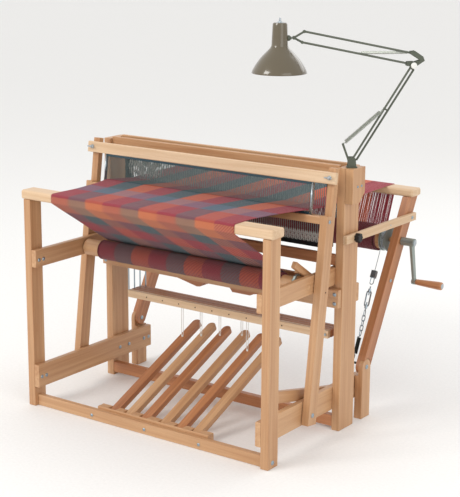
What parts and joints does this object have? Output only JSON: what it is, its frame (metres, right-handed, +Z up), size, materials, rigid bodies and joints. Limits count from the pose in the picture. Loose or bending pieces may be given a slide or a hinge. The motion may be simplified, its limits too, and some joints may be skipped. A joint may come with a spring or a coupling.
{
  "type": "floor loom",
  "caption": "Folding wooden floor loom with warp and cloth on it, hanging shafts, treadles, swinging beater, crank-wound warp beam and a clamp-on balanced-arm lamp.",
  "frame": {"origin": "middle of the front lower rail's underside, on the floor", "axes": "+X to the weaver's right, +Y towards the back beam, +Z up"},
  "size_m": [1.2197, 0.9206, 1.3583],
  "materials": {
    "warm_wood": "satin oiled beech",
    "pale_wood": "satin oiled beech, paler",
    "red_wood": "satin oiled beech, redder",
    "steel": "bright",
    "black_steel": "black paint",
    "cast_iron": "grey",
    "lamp_enamel": "gloss olive-brown enamel",
    "lamp_steel": "semi-gloss enamel",
    "web_cloth": "woven wool in crimson, rust and grey-blue blocks",
    "rolled_cloth": "woven wool",
    "warp_yarn": "parallel yarns"
  },
  "bodies": {
    "frame": {"front_post_left": "warm_wood", "front_post_right": "warm_wood", "breast_beam": "pale_wood", "front_lower_rail": "warm_wood", "treadle_block": "warm_wood", "upper_rail_left": "warm_wood", "upper_rail_right": "warm_wood", "lower_rail_left": "warm_wood", "lower_rail_right": "warm_wood", "castle_upright_left": "warm_wood", "castle_upright_right": "warm_wood", "lamp_block": "warm_wood", "castle_top_rail_front": "warm_wood", "castle_top_rail_rear": "warm_wood", "castle_front_crossbar": "warm_wood", "castle_rear_crossbar": "warm_wood", "castle_mid_crossbar": "red_wood", "castle_lower_crossbar": "red_wood", "back_stub_left": "warm_wood", "back_stub_right": "warm_wood", "web": "web_cloth", "warp": "warp_yarn"},
    "beater": {"beater_leg_left": "warm_wood", "beater_leg_right": "warm_wood", "race_sill": "warm_wood", "handtree": "pale_wood", "reed": "steel"},
    "cloth_beam": {"cloth_beam": "warm_wood", "cloth_roll": "rolled_cloth"},
    "cloth_pawl": {"cloth_pawl": "warm_wood"},
    "back_frame": {"back_leg_left": "red_wood", "back_leg_right": "red_wood", "back_beam": "pale_wood", "brake_cable": "steel"},
    "brace_left": {"brace_left": "pale_wood"},
    "brace_right": {"brace_right": "pale_wood"},
    "warp_beam": {"warp_beam": "warm_wood", "warp_roll": "warp_yarn", "brake_drum": "cast_iron", "crank_arm": "cast_iron"},
    "crank_grip": {"crank_grip": "red_wood"},
    "brake_treadle": {"brake_treadle": "warm_wood"},
    "lamp_base": {"lamp_yoke": "lamp_steel"},
    "lamp_lower_arm": {"lamp_lower_arm": "lamp_steel"},
    "lamp_upper_arm": {"lamp_upper_arm": "lamp_steel"},
    "lamp_shade": {"lamp_shade": "lamp_enamel"},
    "shaft_1": {"shaft_1": "black_steel"},
    "lamm_1": {"lamm_1": "pale_wood"},
    "shaft_2": {"shaft_2": "black_steel"},
    "lamm_2": {"lamm_2": "red_wood"},
    "shaft_3": {"shaft_3": "black_steel"},
    "lamm_3": {"lamm_3": "red_wood"},
    "shaft_4": {"shaft_4": "black_steel"},
    "lamm_4": {"lamm_4": "red_wood"},
    "treadle_1": {"treadle_1": "red_wood"},
    "treadle_2": {"treadle_2": "warm_wood"},
    "treadle_3": {"treadle_3": "red_wood"},
    "treadle_4": {"treadle_4": "warm_wood"},
    "treadle_5": {"treadle_5": "red_wood"},
    "treadle_6": {"treadle_6": "warm_wood"}
  },
  "joints": [
    {"name": "beater_swing", "type": "hinge", "parent": "frame", "child": "beater", "pos_m": [0, 0.231, 0.105], "axis": [1, 0, 0], "range_deg": [0, 22]},
    {"name": "treadle_1_press", "type": "hinge", "parent": "frame", "child": "treadle_1", "pos_m": [-0.159, 0.028, 0.03], "axis": [-1, 0, 0], "range_deg": [0, 9.51]},
    {"name": "treadle_2_press", "type": "hinge", "parent": "frame", "child": "treadle_2", "pos_m": [-0.092, 0.028, 0.03], "axis": [-1, 0, 0], "range_deg": [0, 8]},
    {"name": "treadle_3_press", "type": "hinge", "parent": "frame", "child": "treadle_3", "pos_m": [-0.025, 0.028, 0.03], "axis": [-1, 0, 0], "range_deg": [0, 6.64]},
    {"name": "treadle_4_press", "type": "hinge", "parent": "frame", "child": "treadle_4", "pos_m": [0.055, 0.028, 0.03], "axis": [-1, 0, 0], "range_deg": [0, 5.24]},
    {"name": "treadle_5_press", "type": "hinge", "parent": "frame", "child": "treadle_5", "pos_m": [0.122, 0.028, 0.03], "axis": [-1, 0, 0], "range_deg": [0, 5.15]},
    {"name": "treadle_6_press", "type": "hinge", "parent": "frame", "child": "treadle_6", "pos_m": [0.189, 0.028, 0.03], "axis": [-1, 0, 0], "range_deg": [0, 3.52]},
    {"name": "lamm_1_tilt", "type": "hinge", "parent": "frame", "child": "lamm_1", "pos_m": [0.44, 0.406, 0.325], "axis": [0, -1, 0], "range_deg": [0, 6.2]},
    {"name": "shaft_1_lift", "type": "slide", "parent": "frame", "child": "shaft_1", "axis": [0, 0, 1], "range_m": [0, 0.051]},
    {"name": "lamm_2_tilt", "type": "hinge", "parent": "frame", "child": "lamm_2", "pos_m": [0.44, 0.427, 0.325], "axis": [0, -1, 0], "range_deg": [0, 6.2]},
    {"name": "shaft_2_lift", "type": "slide", "parent": "frame", "child": "shaft_2", "axis": [0, 0, 1], "range_m": [0, 0.051]},
    {"name": "lamm_3_tilt", "type": "hinge", "parent": "frame", "child": "lamm_3", "pos_m": [0.44, 0.448, 0.325], "axis": [0, -1, 0], "range_deg": [0, 6.2]},
    {"name": "shaft_3_lift", "type": "slide", "parent": "frame", "child": "shaft_3", "axis": [0, 0, 1], "range_m": [0, 0.051]},
    {"name": "lamm_4_tilt", "type": "hinge", "parent": "frame", "child": "lamm_4", "pos_m": [0.44, 0.469, 0.325], "axis": [0, -1, 0], "range_deg": [0, 6.2]},
    {"name": "shaft_4_lift", "type": "slide", "parent": "frame", "child": "shaft_4", "axis": [0, 0, 1], "range_m": [0, 0.051]},
    {"name": "cloth_beam_turn", "type": "hinge", "parent": "frame", "child": "cloth_beam", "pos_m": [0, 0.239, 0.523], "axis": [1, 0, 0], "continuous": true},
    {"name": "pawl_lift", "type": "hinge", "parent": "frame", "child": "cloth_pawl", "pos_m": [0.445, 0.292, 0.541], "axis": [-1, 0, 0], "range_deg": [0, 20]},
    {"name": "back_fold", "type": "hinge", "parent": "frame", "child": "back_frame", "pos_m": [0, 0.565, 0.18], "axis": [1, 0, 0], "range_deg": [0, 26.5], "deforming": ["warp"]},
    {"name": "brace_left_swing", "type": "hinge", "parent": "back_frame", "child": "brace_left", "pos_m": [-0.5135, 0.82076, 0.655], "axis": [1, 0, 0], "range_deg": [-5, 0]},
    {"name": "brace_right_swing", "type": "hinge", "parent": "back_frame", "child": "brace_right", "pos_m": [0.5135, 0.82076, 0.655], "axis": [1, 0, 0], "range_deg": [-5, 0]},
    {"name": "warp_beam_turn", "type": "hinge", "parent": "back_frame", "child": "warp_beam", "pos_m": [0, 0.7793, 0.578], "axis": [1, 0, 0], "continuous": true},
    {"name": "grip_spin", "type": "hinge", "parent": "warp_beam", "child": "crank_grip", "pos_m": [0.6, 0.80735, 0.4337], "axis": [1, 0, 0], "continuous": true},
    {"name": "brake_press", "type": "hinge", "parent": "frame", "child": "brake_treadle", "pos_m": [0.4402, 0.51, 0.101], "axis": [1, 0, 0], "range_deg": [0, 6], "stiffness_Nm_per_rad": 5, "springref_deg": -14.9},
    {"name": "lamp_swivel", "type": "hinge", "parent": "frame", "child": "lamp_base", "pos_m": [0.507, 0.425, 0.8863], "axis": [0, 0, 1], "range_deg": [-60, 60]},
    {"name": "lamp_lower_pivot", "type": "hinge", "parent": "lamp_base", "child": "lamp_lower_arm", "pos_m": [0.507, 0.425, 0.9113], "axis": [-0.6428, 0.766, 0], "range_deg": [-15, 20]},
    {"name": "lamp_elbow", "type": "hinge", "parent": "lamp_lower_arm", "child": "lamp_upper_arm", "pos_m": [0.64719, 0.54263, 1.2133], "axis": [-0.6428, 0.766, 0], "range_deg": [-20, 20]},
    {"name": "shade_tilt", "type": "hinge", "parent": "lamp_upper_arm", "child": "lamp_shade", "pos_m": [0.35992, 0.30158, 1.2963], "axis": [-0.6428, 0.766, 0], "range_deg": [-25, 25]}
  ],
  "couplings": [
    {"joint": "treadle_5_press", "follows": "treadle_1_press", "ratio": 0.53089},
    {"joint": "treadle_6_press", "follows": "treadle_4_press", "ratio": 0.65195},
    {"joint": "lamm_1_tilt", "follows": "treadle_1_press", "ratio": 0.63105},
    {"joint": "shaft_1_lift", "follows": "treadle_1_press", "m_per_rad": 0.30124},
    {"joint": "lamm_2_tilt", "follows": "treadle_2_press", "ratio": 0.75},
    {"joint": "shaft_2_lift", "follows": "treadle_2_press", "m_per_rad": 0.3581},
    {"joint": "lamm_3_tilt", "follows": "treadle_3_press", "ratio": 0.90323},
    {"joint": "shaft_3_lift", "follows": "treadle_3_press", "m_per_rad": 0.43144},
    {"joint": "lamm_4_tilt", "follows": "treadle_4_press", "ratio": 1.1455},
    {"joint": "shaft_4_lift", "follows": "treadle_4_press", "m_per_rad": 0.54671}
  ]
}
